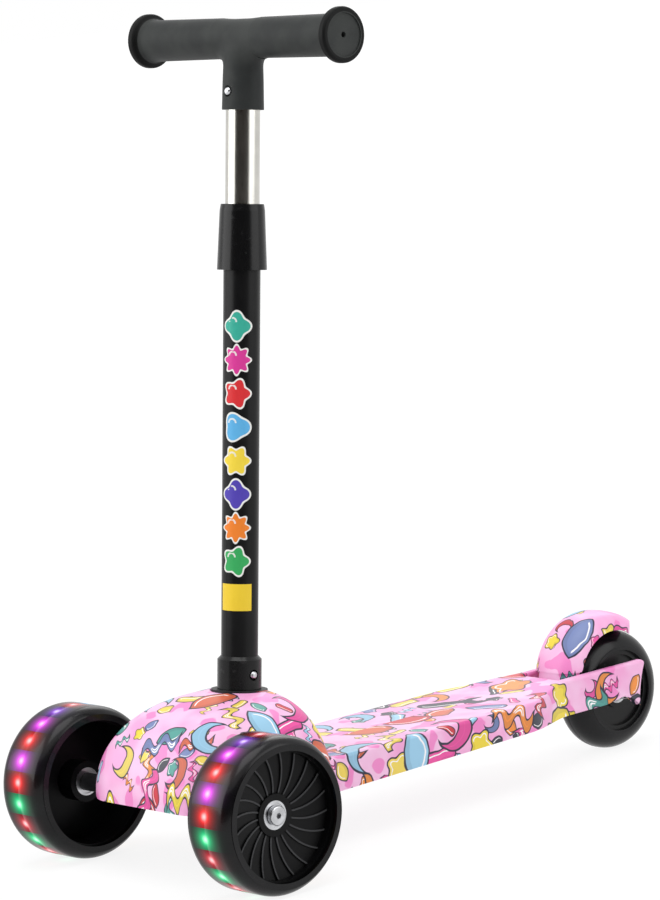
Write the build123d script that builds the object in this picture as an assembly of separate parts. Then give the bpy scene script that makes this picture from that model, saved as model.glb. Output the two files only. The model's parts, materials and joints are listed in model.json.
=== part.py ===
"""Three-wheeled kick scooter with a lean-steer front truck, telescopic stem and foot brake.

Millimetres. +X is forward, +Y is the rider's left, +Z is up. The origin is on the ground
under the middle of the scooter's length.
"""
import os
from math import cos, radians, sin, sqrt

from build123d import *

# Stance and wheels
wheelbase = 480.0
track = 222.0
front_wheel_dia = 120.0
front_wheel_width = 50.0
front_shoulder = 10.5
rear_wheel_dia = 100.0
rear_wheel_width = 34.0
rear_shoulder = 16.0

# Fits
running_gap = 0.05
sliding_gap = 0.2
motion_gap = 0.4
axial_gap = 0.2
button_gap = 0.15
mould_overlap = 0.5

# Standard parts: ball bearing and axle screw
bearing_dia = 22.0
bearing_bore_dia = 8.0 + 2 * running_gap
bearing_width = 7.0
bearing_shield_recess = 0.6
axle_dia = 8.0
axle_head_dia = 15.0
axle_head_height = 4.0
axle_key_size = 5.0
axle_key_depth = 2.5
axle_head_edge = 1.2

# Front wheel
front_rim_dia = 104.0
front_rim_wall = 4.0
front_rim_inset = 5.0
hub_boss_dia = 32.0
hub_boss_length = 22.0
web_thickness = 3.5
web_rim_depth = 6.0
web_boss_depth = 1.5
rib_count = 20
rib_thickness = 1.3
rib_height = 1.8
rib_sweep_deg = 12.0
rib_middle_turn = 0.3
light_count = 22
light_phase_deg = 14.7
light_dia = 8.0
light_strip_thickness = 1.0
light_strip_width = 12.0
light_cover = 2.4
magnet_dia = 15.0
magnet_length = 6.0
coil_bore_dia = 16.6
spacer_wall = 1.5

# Rear wheel and fork
rear_rim_dia = 68.0
rear_rim_wall = 4.0
rear_rim_width = 28.0
rear_boss_dia = 30.0
rear_boss_length = 26.0
rear_web_thickness = 22.0
rear_spacer_dia = 14.0
rear_sleeve_dia = 12.0
fork_gap = 44.0
fork_arm_thickness = 8.0
fork_tail = 18.0
fork_tail_hollow = 2.4
fork_prong = 8.5
fork_notch = 11.0
fork_notch_start = 31.0
fork_flare_hollow = 1.5
rear_nut_dia = 12.6
rear_head_dia = 13.0
axle_end_room = 1.5
nut_pocket_gap = 0.1

# Deck
deck_width = 108.0
deck_top_z = 71.0
deck_front_bottom_z = 42.0
deck_rear_bottom_z = 47.0
deck_wall = 3.5
deck_edge_radius = 3.0
deck_nose_setback = 60.0
deck_taper_start = 135.0
deck_taper_end = 82.0
deck_taper_radius = 45.0
deck_crotch = 78.0
deck_crotch_wall = 6.0
rib_wall = 2.5
cross_rib_count = 6
arm_top_z = 74.7
arm_bottom_z = 45.0
notch_z = 48.0
tail_bottom_z = 37.0
groove_width = 1.2
groove_depth = 0.6
groove_setback = 1.0

# Front cover
cover_front = 28.0
cover_rear = 118.0
cover_width = 157.0
cover_bottom_z = 56.5
cover_top_z = 130.0
cover_apex_setback = 73.0
cover_corner_radius = 37.0
cover_wall = 3.0
cover_round_up = 2.1
cover_round_out = 2.5
cover_levels = (0, 0.25, 0.5, 0.7, 0.85, 0.95, 1)
cover_cap_share = 0.12
cover_post_dia = 10.0
axle_window_length = 40.0
axle_window_top_z = 78.0

# Stem
stem_setback = 78.3
stem_foot_z = 127.4
stem_lean_deg = 6.7
socket_dia = 34.4
socket_rise = 27.0
socket_depth = 47.0
socket_chamfer = 2.6
ring_dia = 44.0
ring_height = 2.4
ring_margin = 1.0
lower_tube_dia = 28.6
lower_tube_wall = 0.8
lower_tube_exposed = 297.5
paint_thickness = 0.1
collar_height = 50.4
collar_top_dia = 33.4
collar_foot_dia = 38.6
collar_bevel = 5.0
collar_bevel_dia = 35.0
collar_cover = 14.0
collet_wall = 1.5
collet_finger_length = 8.0
collet_slot = 2.0
collet_slots = 4
upper_tube_dia = 26.6
upper_tube_wall = 1.2
chrome_exposed = 71.9
tube_overlap = 125.0
tube_plug_head = 4.0
tube_plug_spigot = 12.0
tee_socket_length = 54.7
tee_foot_dia = 32.4
tee_neck_dia = 30.2
tee_seat_depth = 36.0

# Handlebar
handlebar_width = 230.0
handlebar_core_dia = 18.0
handlebar_core_wall = 3.0
tee_barrel_dia = 32.0
tee_barrel_length = 46.0
grip_inner_dia = 31.4
grip_outer_dia = 32.4
grip_flange_dia = 42.4
grip_flange_width = 7.0
grip_flare = 4.5
grip_end_wall = 9.0
grip_hole_dia = 4.4
grip_face_dia = 33.0
grip_face_depth = 1.2
grip_rim_radius = 2.4

# Snap buttons
button_dia = 6.4
button_proud = 1.2
button_window_dia = 8.6
button_flange_dia = 9.0
button_flange_height = 1.4
button_crown = 2.4
handle_button_up = 14.0
stem_button_up = 13.0
spring_thickness = 0.8
spring_width = 8.0
spring_length = 34.0

# Front truck, its pivot and the bracket that carries it
pivot_setback = 32.0
pivot_tilt_deg = 35.0
pivot_hub_dia = 24.0
pivot_hub_half = 14.0
pivot_boss_length = 14.0
pivot_clearance = 1.0
king_pin_dia = 8.0
king_pin_head_dia = 14.0
king_pin_head_height = 5.0
beam_depth = 20.0
beam_height = 15.0
beam_drop = 1.0
beam_half_width = 70.0
stub_dia = 14.0
wing_half_width = 34.0
wing_height = 6.0
wing_length = 24.0
bumper_dia = 14.0
bumper_offset = 25.0
bracket_plate = 7.0
bracket_width = 68.0
bracket_front_setback = 21.0
bracket_rear_setback = 111.0
socket_boss_wall = 4.0
socket_boss_drop = 8.0
gusset_width = 20.0
gusset_height = 14.0
screw_dia = 4.0
screw_head_dia = 8.0
screw_head_height = 2.5
screw_bite = 5.0

# Rear fender, which is the foot brake
fender_width = 48.0
fender_ahead = 14.0
fender_lift = 13.8
fender_edge_radius = 51.0
fender_crown_radius = 54.7
fender_wall = 3.0
fender_corner = 15.8
fender_foot_deg = -6.0
fender_root_deg = 18.0
fender_end_deg = 145.0
fender_arm_gap = 1.5
fender_root_inset = 0.4
tongue_ahead = 1.3
lip_ahead = 12.7
lip_lift = 13.2
lip_radius = 40.4
hinge_radius = 67.0
hinge_angle_deg = 10.0
hinge_barrel_dia = 12.0
hinge_pin_dia = 5.0
hinge_pin_bite = 5.0
hinge_side_gap = 0.5
pad_gap = 4.5
pad_width = 16.0
pad_start_deg = 68.0
pad_end_deg = 104.0
heel_width = 16.0
leaf_thickness = 1.2

# Places worked out from the sizes above
overall_length = wheelbase + (front_wheel_dia + rear_wheel_dia) / 2
front_axle_x = overall_length / 2 - front_wheel_dia / 2
rear_axle_x = front_axle_x - wheelbase
front_axle_z = front_wheel_dia / 2
rear_axle_z = rear_wheel_dia / 2
fork_half = fork_gap / 2
fork_outer = fork_half + fork_arm_thickness
rear_axle_end = fork_half + axle_head_height + axle_end_room
fender_x = rear_axle_x + fender_ahead
fender_z = rear_axle_z + fender_lift
fender_roof = fender_crown_radius - fender_wall
collar_foot_up = socket_rise + lower_tube_exposed
collar_top_up = collar_foot_up + collar_height
tee_foot_up = collar_top_up + chrome_exposed
handle_up = tee_foot_up + tee_socket_length
upper_tube_foot_up = collar_top_up - tube_overlap
lower_tube_bore = lower_tube_dia - 2 * lower_tube_wall
upper_tube_bore = upper_tube_dia - 2 * upper_tube_wall
stem_foot_x = front_axle_x - stem_setback
pivot_x = front_axle_x - pivot_setback
bracket_top_z = deck_top_z + bracket_plate
cover_screw_sink = screw_head_height + axial_gap
UP = (Align.CENTER, Align.CENTER, Align.MIN)
long_cut = overall_length

pieces = {}


def along_y(radius, start, end):
    """Round bar on the Y axis between two stations."""
    return Pos(0, start, 0) * Rot(X=-90) * Cylinder(radius, end - start, align=UP)


def turned(profile):
    """Solid turned about Y from a profile drawn as (along the axle, radius)."""
    return Rot(Z=90) * revolve(profile, Axis.X)


def band(start, end, inner, outer):
    """Rectangle of a turned profile, between two stations and two radii."""
    middle = Pos((start + end) / 2, (inner + outer) / 2)
    return middle * Rectangle(end - start, outer - inner)


def stem_plane(up, outward=None):
    """Plane across the stem at a distance up it; with a direction, the plane that holds both."""
    lean = radians(stem_lean_deg)
    axis = Vector(-sin(lean), 0, cos(lean))
    forward = Vector(cos(lean), 0, sin(lean))
    origin = Vector(stem_foot_x, 0, stem_foot_z) + axis * up
    if outward is None:
        return Plane(origin, x_dir=forward, z_dir=axis).location
    side = forward if outward == "forward" else Vector(0, 1, 0)
    return Plane(origin, x_dir=side, z_dir=side.cross(axis)).location


def stem_bar(start, end, dia, end_dia=None):
    """Round or tapered bar on the stem's axis."""
    if end_dia is None:
        return stem_plane(start) * Cylinder(dia / 2, end - start, align=UP)
    return stem_plane(start) * Cone(dia / 2, end_dia / 2, end - start, align=UP)


def stem_sleeve(start, end, outer_dia, inner_dia):
    """Tube on the stem's axis."""
    return stem_bar(start, end, outer_dia) - stem_bar(start, end, inner_dia)


def pivot_bar(start, end, dia):
    """Round bar on the truck's tilted pivot axis, which leans forward at the top."""
    tilt = radians(pivot_tilt_deg)
    axis = Vector(sin(tilt), 0, cos(tilt))
    across = Vector(cos(tilt), 0, -sin(tilt))
    place = Plane(Vector(pivot_x, 0, front_axle_z), x_dir=across, z_dir=axis).location
    return place * Pos(0, 0, start) * Cylinder(dia / 2, end - start, align=UP)


def cap_screw(dia, head_dia, head_height, length, key):
    """Socket screw along Y: its head is outside, its shank points to -Y from the head's seat."""
    head = along_y(head_dia / 2, 0, head_height)
    head = fillet(head.faces().sort_by(Axis.Y)[-1].edges(), min(axle_head_edge, head_height / 3))
    socket = Pos(0, head_height - axle_key_depth, 0) * Rot(X=-90) * extrude(
        RegularPolygon(key / 2, 6), head_height)
    return head - socket + along_y(dia / 2, -length, 0)


def ball_bearing(start):
    """Shielded ball bearing, from its inner end at a station on the axle."""
    end = start + bearing_width
    race = (bearing_dia - bearing_bore_dia) / 8
    profile = band(start, end, bearing_bore_dia / 2, bearing_dia / 2)
    low = bearing_bore_dia / 2 + race
    high = bearing_dia / 2 - race
    profile -= band(start, start + bearing_shield_recess, low, high)
    profile -= band(end - bearing_shield_recess, end, low, high)
    return turned(profile)


def tyre_profile(wheel_dia, width, shoulder, bead_dia):
    """Section of a tyre with round shoulders, cut off at its bead."""
    radius = wheel_dia / 2
    block = Pos(0, radius / 2) * Rectangle(width, radius)
    block = fillet(block.vertices().sort_by(Axis.Y)[-2:], shoulder)
    return block - Rectangle(2 * width, bead_dia)


def light_pegs(dia, start, end):
    """Ring of radial pegs, one for each light, counted forward from the top of the wheel."""
    peg = Pos(0, 0, start) * Cylinder(dia / 2, end - start, align=UP)
    step = 360 / light_count
    return [Rot(Y=light_phase_deg + step * number) * peg for number in range(light_count)]


def curved_rib(inner, outer):
    """Flat outline of one swept rib, from the boss to the rim."""
    def edge(side):
        stations = []
        for share, turn in ((0, 0), (0.5, rib_middle_turn), (1, 1)):
            radius = inner + (outer - inner) * share
            angle = radians(rib_sweep_deg * turn) + side * rib_thickness / 2 / radius
            stations.append((radius * cos(angle), radius * sin(angle)))
        return stations
    left, right = edge(1), edge(-1)
    return make_face([ThreePointArc(*left), Line(left[2], right[2]),
                      ThreePointArc(*right), Line(right[0], left[0])])


def front_hub():
    """Wheel core: rim, dished web with swept ribs on its outer side, and bearing boss."""
    rim_half = front_wheel_width / 2 - front_rim_inset
    boss_half = hub_boss_length / 2
    rim_outer = front_rim_dia / 2
    rim_inner = rim_outer - front_rim_wall
    boss_outer = hub_boss_dia / 2
    web_rim = rim_half - web_rim_depth
    web_boss = boss_half - web_boss_depth
    low = boss_outer - mould_overlap
    high = rim_inner + mould_overlap
    web = Polygon((web_boss, low), (web_rim, high), (web_rim - web_thickness, high),
                  (web_boss - web_thickness, low), align=None)
    profile = band(-rim_half, rim_half, rim_inner, rim_outer)
    profile += band(-boss_half, boss_half, bearing_dia / 2, boss_outer)
    profile += web
    room = Polygon((web_boss - mould_overlap, low), (web_rim - mould_overlap, high),
                   (web_rim + rib_height, high), (web_boss + rib_height / 2, low), align=None)
    rib = extrude(curved_rib(low, high), front_wheel_width / 2)
    ribs = Part() + [Rot(Z=360 / rib_count * number) * rib for number in range(rib_count)]
    ribs = (Rot(X=-90) * ribs) & turned(room)
    return turned(profile) + ribs


def front_wheel():
    """Pieces of the left front wheel, about its own centre with its outer face to +Y."""
    rim_radius = front_rim_dia / 2
    boss_half = hub_boss_length / 2
    strip_radius = rim_radius + light_strip_thickness
    light_top = front_wheel_dia / 2 - light_cover
    strip_half = light_strip_width / 2
    strip = turned(band(-strip_half, strip_half, rim_radius, strip_radius))
    lights = strip + light_pegs(light_dia, rim_radius + light_strip_thickness / 2, light_top)
    tyre = turned(tyre_profile(front_wheel_dia, front_wheel_width, front_shoulder, front_rim_dia))
    tyre -= turned(band(-strip_half - axial_gap, strip_half + axial_gap,
                        rim_radius - mould_overlap, strip_radius + axial_gap))
    tyre -= light_pegs(light_dia + 2 * axial_gap, rim_radius - mould_overlap, light_top + axial_gap)
    coil_half = boss_half - bearing_width
    coil = turned(band(-coil_half, coil_half, coil_bore_dia / 2, bearing_dia / 2))
    bearings = [ball_bearing(boss_half - bearing_width), ball_bearing(-boss_half)]
    return {"tyre": tyre, "hub": front_hub(), "lights": lights, "light_coil": coil,
            "bearings": Compound(children=bearings)}


def front_axle():
    """Fixed pieces inside the left front wheel, about the wheel's own centre."""
    boss_half = hub_boss_length / 2
    gap_half = boss_half - bearing_width - axial_gap
    spacer_radius = axle_dia / 2 + spacer_wall
    spacer = turned(band(-gap_half, gap_half, axle_dia / 2, spacer_radius))
    magnet_half = magnet_length / 2
    magnet = turned(band(-magnet_half, magnet_half, spacer_radius, magnet_dia / 2))
    seat = boss_half + axial_gap
    length = track / 2 + seat - beam_half_width
    bolt = Pos(0, seat, 0) * cap_screw(axle_dia, axle_head_dia, axle_head_height, length, axle_key_size)
    return {"axle_bolt": bolt, "axle_spacer": spacer, "light_magnet": magnet}


def make_front_wheels():
    for name, piece in {**front_wheel(), **front_axle()}.items():
        pieces["left_" + name] = Pos(front_axle_x, track / 2, front_axle_z) * piece
        pieces["right_" + name] = Pos(front_axle_x, -track / 2, front_axle_z) * Rot(Z=180) * piece


def make_rear_wheel():
    place = Pos(rear_axle_x, 0, rear_axle_z)
    rim_outer = rear_rim_dia / 2
    rim_inner = rim_outer - rear_rim_wall
    boss_half = rear_boss_length / 2
    profile = band(-rear_rim_width / 2, rear_rim_width / 2, rim_inner, rim_outer)
    profile += band(-boss_half, boss_half, bearing_dia / 2, rear_boss_dia / 2)
    web_half = rear_web_thickness / 2
    profile += band(-web_half, web_half, rear_boss_dia / 2 - mould_overlap, rim_inner + mould_overlap)
    pieces["rear_hub"] = place * turned(profile)
    pieces["rear_tyre"] = place * turned(
        tyre_profile(rear_wheel_dia, rear_wheel_width, rear_shoulder, rear_rim_dia))
    bearings = [ball_bearing(boss_half - bearing_width), ball_bearing(-boss_half)]
    pieces["rear_bearings"] = Compound(children=[place * bearing for bearing in bearings])
    axle_radius = axle_dia / 2
    inner_half = boss_half - bearing_width - axial_gap
    stations = ((-inner_half, inner_half, rear_sleeve_dia),
                (boss_half + axial_gap, fork_half, rear_spacer_dia),
                (-fork_half, -boss_half - axial_gap, rear_spacer_dia))
    spacers = [place * turned(band(low, high, axle_radius, dia / 2)) for low, high, dia in stations]
    pieces["rear_axle_spacers"] = Compound(children=spacers)
    bolt = cap_screw(axle_dia, rear_head_dia, axle_head_height, fork_outer + rear_axle_end, axle_key_size)
    pieces["rear_axle_bolt"] = place * Pos(0, -fork_outer, 0) * Rot(Z=180) * bolt
    nut = captive_nut(rear_nut_dia) - along_y(axle_radius, -long_cut, long_cut)
    pieces["rear_axle_nut"] = place * nut


def captive_nut(dia):
    """Hexagon of the rear axle's insert nut, let into the inner face of the left fork arm."""
    return Pos(0, fork_half, 0) * Rot(X=-90) * extrude(RegularPolygon(dia / 2, 6), axle_head_height)


def deck_plan(inset):
    """Plan of the plank and fork, drawn in by an inset; the wheel gap is cut apart."""
    nose = front_axle_x - deck_nose_setback
    taper_start = rear_axle_x + deck_taper_start
    taper_end = rear_axle_x + deck_taper_end
    tail = rear_axle_x - fork_tail
    wide = deck_width / 2
    outline = Polygon((nose, wide), (taper_start, wide), (taper_end, fork_outer), (tail, fork_outer),
                      (tail, -fork_outer), (taper_end, -fork_outer), (taper_start, -wide),
                      (nose, -wide), align=None)
    waist = outline.vertices().sort_by(Axis.X)[2:-2]
    outline = fillet(waist, deck_taper_radius)
    if inset:
        outline = offset(outline, -inset, kind=Kind.INTERSECTION)
    return outline


def deck_side():
    """Side view of the plank and of the fork arms, which stand higher and end in a notched tail."""
    nose = front_axle_x - deck_nose_setback
    tail = rear_axle_x - fork_tail
    prong = rear_axle_x - fork_prong
    notch = rear_axle_x + fork_notch
    taper_start = rear_axle_x + deck_taper_start
    taper_end = rear_axle_x + deck_taper_end
    arm_top = Line((tail, arm_top_z), (taper_end, arm_top_z))
    rise = Spline((taper_end, arm_top_z), (taper_start, deck_top_z), tangents=((1, 0), (1, 0)))
    outline = Polyline((taper_start, deck_top_z), (nose, deck_top_z), (nose, deck_front_bottom_z),
                       (taper_start, deck_rear_bottom_z), (taper_end, arm_bottom_z),
                       (rear_axle_x + fork_notch_start, arm_bottom_z), (notch, notch_z))
    flare_middle = ((notch + prong) / 2 - fork_flare_hollow,
                    (notch_z + tail_bottom_z) / 2 + fork_flare_hollow)
    flare = ThreePointArc((notch, notch_z), flare_middle, (prong, tail_bottom_z))
    tail_middle = ((prong + tail) / 2 + fork_tail_hollow, (arm_top_z + tail_bottom_z) / 2)
    end = ThreePointArc((prong, tail_bottom_z), tail_middle, (tail, arm_top_z))
    return make_face([arm_top, rise, outline, flare, end])


def hinge_point():
    """Brake hinge pin's centre, as X and Z."""
    angle = radians(hinge_angle_deg)
    return rear_axle_x + hinge_radius * cos(angle), rear_axle_z + hinge_radius * sin(angle)


def screw_places():
    """Deck screws and cover screws through the bracket plate, as two lists of (x, y)."""
    rear = front_axle_x - bracket_rear_setback + screw_head_dia
    side = bracket_width / 2 - screw_head_dia
    front = front_axle_x - bracket_front_setback - screw_head_dia
    nose = front_axle_x - deck_nose_setback - deck_wall - 2 * screw_head_dia
    deck = [(x, y) for x in (rear, nose) for y in (-side, side)]
    middle = (rear + nose) / 2
    cover = [(x, y) for x in (middle, front - screw_head_dia) for y in (-side, side)]
    return deck, cover


def make_deck():
    whole = extrude(deck_plan(0), long_cut) & extrude(Plane.XZ * deck_side(), deck_width, both=True)
    crotch = rear_axle_x + deck_crotch
    slot = Pos(crotch, 0, 0) * Box(long_cut, fork_gap, long_cut,
                                   align=(Align.MAX, Align.CENTER, Align.CENTER))
    whole -= slot
    tops = [face for face in whole.faces() if face.normal_at().Z > 0.9]
    rims = [edge for face in tops for edge in face.edges()]
    whole = fillet([edge for edge in rims if rims.count(edge) == 1], deck_edge_radius)
    nose = front_axle_x - deck_nose_setback
    back = crotch + deck_crotch_wall
    ceiling = deck_top_z - deck_wall
    room = Pos((nose - deck_wall + back) / 2, 0, 0) * Box(
        nose - deck_wall - back, deck_width, ceiling, align=UP)
    cavity = extrude(deck_plan(deck_wall), ceiling) & room
    ribs = [Pos(back, y, 0) * Box(nose - back, rib_wall, ceiling,
                                  align=(Align.MIN, Align.CENTER, Align.MIN))
            for y in (-deck_width / 5, deck_width / 5)]
    step = (nose - back) / (cross_rib_count + 1)
    ribs += [Pos(back + step * (number + 1), 0, 0) * Box(rib_wall, deck_width, ceiling, align=UP)
             for number in range(cross_rib_count)]
    keep_clear = [Pos(x, y, 0) * Cylinder(screw_head_dia / 2 + motion_gap, ceiling, align=UP)
                  for x, y in screw_places()[0]]
    deck = whole - cavity
    deck += [rib & whole & cavity for rib in ribs]
    deck -= keep_clear
    axle = Pos(rear_axle_x, 0, rear_axle_z)
    deck -= axle * along_y(axle_dia / 2, -long_cut, rear_axle_end)
    deck -= axle * captive_nut(rear_nut_dia + 2 * nut_pocket_gap)
    hinge_x, hinge_z = hinge_point()
    deck -= Pos(hinge_x, 0, hinge_z) * along_y(hinge_pin_dia / 2, -long_cut, fork_half + hinge_pin_bite)
    deck -= [Pos(x, y, 0) * Cylinder(screw_dia / 2, long_cut, align=UP) for x, y in screw_places()[0]]
    groove_x = front_axle_x - cover_rear - groove_setback - groove_width / 2
    deck -= Pos(groove_x, 0, deck_top_z - groove_depth) * Box(groove_width, long_cut, long_cut, align=UP)
    pieces["deck"] = deck


def cover_solid(inset):
    """Helmet-shaped solid of the front cover, drawn in by an inset on every side but its foot."""
    front = front_axle_x + cover_front - inset
    rear = front_axle_x - cover_rear + inset
    apex = front_axle_x - cover_apex_setback
    top = cover_top_z - inset
    middle, half = (front + rear) / 2, (front - rear) / 2
    sections = []
    for share in cover_levels:
        size = max((1 - share ** cover_round_up) ** (1 / cover_round_out), cover_cap_share)
        height = cover_bottom_z + (top - cover_bottom_z) * share
        corner = (cover_corner_radius - inset) * size
        outline = RectangleRounded(2 * half * size, (cover_width - 2 * inset) * size, corner)
        sections.append(Pos(apex + (middle - apex) * size, 0, height) * outline)
    return loft(sections)


def make_front_cover():
    outer = cover_solid(0)
    inner = cover_solid(cover_wall)
    post_foot = Pos(0, 0, bracket_top_z)
    posts = [post_foot * Pos(x, y, 0) * Cylinder(cover_post_dia / 2, cover_top_z, align=UP)
             for x, y in screw_places()[1]]
    cover = outer - inner
    cover += [post & outer for post in posts]
    seat_dia = ring_dia + 2 * ring_margin
    neck = stem_bar(-ring_dia / 2, -ring_height / 2, seat_dia)
    cover += neck - inner
    cover -= stem_bar(-ring_height / 2, long_cut, seat_dia)
    cover -= stem_bar(-long_cut, long_cut, socket_dia + 2 * axial_gap)
    opening_top = deck_top_z + axial_gap
    rear = front_axle_x - cover_rear
    cover -= Pos(rear, 0, 0) * Box(cover_rear, deck_width + 2 * axial_gap, opening_top, align=UP)
    cover -= Pos(front_axle_x, 0, 0) * Box(axle_window_length, long_cut, axle_window_top_z, align=UP)
    cover -= [post_foot * Pos(x, y, 0) * Cylinder(screw_dia / 2, screw_bite, align=UP)
              for x, y in screw_places()[1]]
    pieces["front_cover"] = cover


def make_bracket():
    front = front_axle_x - bracket_front_setback
    rear = front_axle_x - bracket_rear_setback
    plate = Pos((front + rear) / 2, 0, deck_top_z) * Box(
        front - rear, bracket_width, bracket_plate, align=UP)
    boss_dia = socket_dia + 2 * socket_boss_wall
    boss_top = -ring_height - cover_wall - socket_boss_drop
    boss = stem_bar(-socket_depth - bracket_plate, boss_top, boss_dia)
    floor = Pos(0, 0, deck_top_z) * Box(long_cut, long_cut, long_cut, align=UP)
    boss &= floor
    pivot_top = pivot_hub_half + motion_gap + pivot_boss_length
    pivot_boss = pivot_bar(pivot_hub_half + motion_gap, pivot_top, pivot_hub_dia)
    tilt = radians(pivot_tilt_deg)
    boss_middle = pivot_x + (pivot_top - pivot_boss_length / 2) * sin(tilt)
    gusset = Pos((stem_foot_x + boss_middle) / 2, 0, deck_top_z) * Box(
        boss_middle - stem_foot_x, gusset_width, bracket_plate + gusset_height, align=UP)
    bracket = plate + boss + gusset
    bracket -= pivot_bar(-long_cut, pivot_hub_half + motion_gap, pivot_hub_dia + 2 * pivot_clearance)
    bracket += pivot_boss
    bracket -= pivot_bar(pivot_top, long_cut, king_pin_head_dia + 2 * pivot_clearance)
    bracket -= pivot_bar(-long_cut, long_cut, king_pin_dia)
    bracket -= stem_bar(-socket_depth, long_cut, socket_dia)
    deck_screws, cover_screws = screw_places()
    bracket -= [Pos(x, y, deck_top_z) * Cylinder(screw_dia / 2, screw_bite, align=UP)
                for x, y in deck_screws]
    bracket -= [Pos(x, y, 0) * Cylinder(screw_dia / 2, long_cut, align=UP) for x, y in cover_screws]
    bracket -= [Pos(x, y, deck_top_z) * Cylinder(screw_head_dia / 2, cover_screw_sink, align=UP)
                for x, y in cover_screws]
    pieces["head_bracket"] = bracket
    pin = pivot_bar(-pivot_hub_half - motion_gap - 2 * king_pin_head_height, pivot_top, king_pin_dia)
    pin += pivot_bar(pivot_top, pivot_top + king_pin_head_height, king_pin_head_dia)
    pieces["king_pin"] = pin
    nut_top = -pivot_hub_half - motion_gap
    nut = pivot_bar(nut_top - king_pin_head_height, nut_top, king_pin_head_dia)
    pieces["king_pin_nut"] = nut - pivot_bar(-long_cut, long_cut, king_pin_dia)


def small_screw(x, y, seat_z, length):
    """Screw driven upwards, with its head's seat at a height."""
    head = Pos(x, y, seat_z) * Cylinder(screw_head_dia / 2, screw_head_height,
                                        align=(Align.CENTER, Align.CENTER, Align.MAX))
    return head + Pos(x, y, seat_z) * Cylinder(screw_dia / 2, length, align=UP)


def make_screws():
    deck_screws, cover_screws = screw_places()
    ceiling = deck_top_z - deck_wall
    pieces["deck_screws"] = Compound(children=[
        small_screw(x, y, ceiling, deck_wall + screw_bite) for x, y in deck_screws])
    pieces["cover_screws"] = Compound(children=[
        small_screw(x, y, deck_top_z + cover_screw_sink, bracket_plate - cover_screw_sink + screw_bite)
        for x, y in cover_screws])


def make_truck():
    beam_z = front_axle_z - beam_drop - beam_height / 2
    hub = pivot_bar(-pivot_hub_half, pivot_hub_half, pivot_hub_dia)
    beam = Pos(front_axle_x, 0, beam_z) * Box(beam_depth, 2 * beam_half_width, beam_height, align=UP)
    web_end = front_axle_x - beam_depth / 2
    web = Pos((pivot_x + web_end) / 2, 0, beam_z) * Box(
        web_end - pivot_x + mould_overlap, pivot_hub_dia, beam_height - beam_drop, align=UP)
    wings = Pos(pivot_x, 0, beam_z) * Box(wing_length, 2 * wing_half_width, wing_height, align=UP)
    stub_end = track / 2 - hub_boss_length / 2 - axial_gap
    stubs = Pos(front_axle_x, 0, front_axle_z) * along_y(stub_dia / 2, -stub_end, stub_end)
    truck = hub + beam + web + wings + stubs
    clear_dia = pivot_hub_dia + 2 * pivot_clearance
    truck -= pivot_bar(-long_cut, -pivot_hub_half, clear_dia)
    truck -= pivot_bar(pivot_hub_half, long_cut, clear_dia)
    truck -= pivot_bar(-long_cut, long_cut, king_pin_dia + 2 * running_gap)
    for side in (-1, 1):
        low, high = sorted((side * beam_half_width, side * track))
        truck -= Pos(front_axle_x, 0, front_axle_z) * along_y(axle_dia / 2, low, high)
    pieces["truck_beam"] = truck
    wing_top = beam_z + wing_height
    pieces["steer_bumpers"] = Compound(children=[
        Pos(pivot_x, side * bumper_offset, wing_top + axial_gap) * Cylinder(
            bumper_dia / 2, deck_top_z - wing_top - axial_gap, align=UP) for side in (-1, 1)])


def snap_button(up, outward, outer_dia, bore_dia):
    """Domed push button, its leaf spring, its hole in the tube and its window in the socket."""
    place = stem_plane(up, outward)
    bore = bore_dia / 2
    flange_top = sqrt(bore ** 2 - (button_flange_dia / 2) ** 2) - button_gap
    flange_foot = flange_top - button_flange_height
    tip = outer_dia / 2 + button_proud

    def radial(low, high, dia):
        return Pos(low, 0, 0) * Rot(Y=90) * Cylinder(dia / 2, high - low, align=UP)

    button = radial(flange_foot, tip, button_dia)
    button = fillet(button.faces().sort_by(Axis.X)[-1].edges(), button_crown)
    button += radial(flange_foot, flange_top, button_flange_dia)
    leg = flange_foot - spring_thickness / 2 - axial_gap
    heel = spring_thickness / 2 + axial_gap - sqrt(bore ** 2 - (spring_width / 2) ** 2)
    strip = trace(Polyline((leg, button_flange_dia), (leg, -button_flange_dia),
                           (heel, -spring_length), (heel, -button_flange_dia)), spring_thickness)
    spring = extrude(strip, spring_width / 2, both=True)
    hole = radial(0, outer_dia, button_dia + 2 * button_gap)
    window = radial(0, outer_dia, button_window_dia)
    return [place * item for item in (button, spring, hole, window)]


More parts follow.
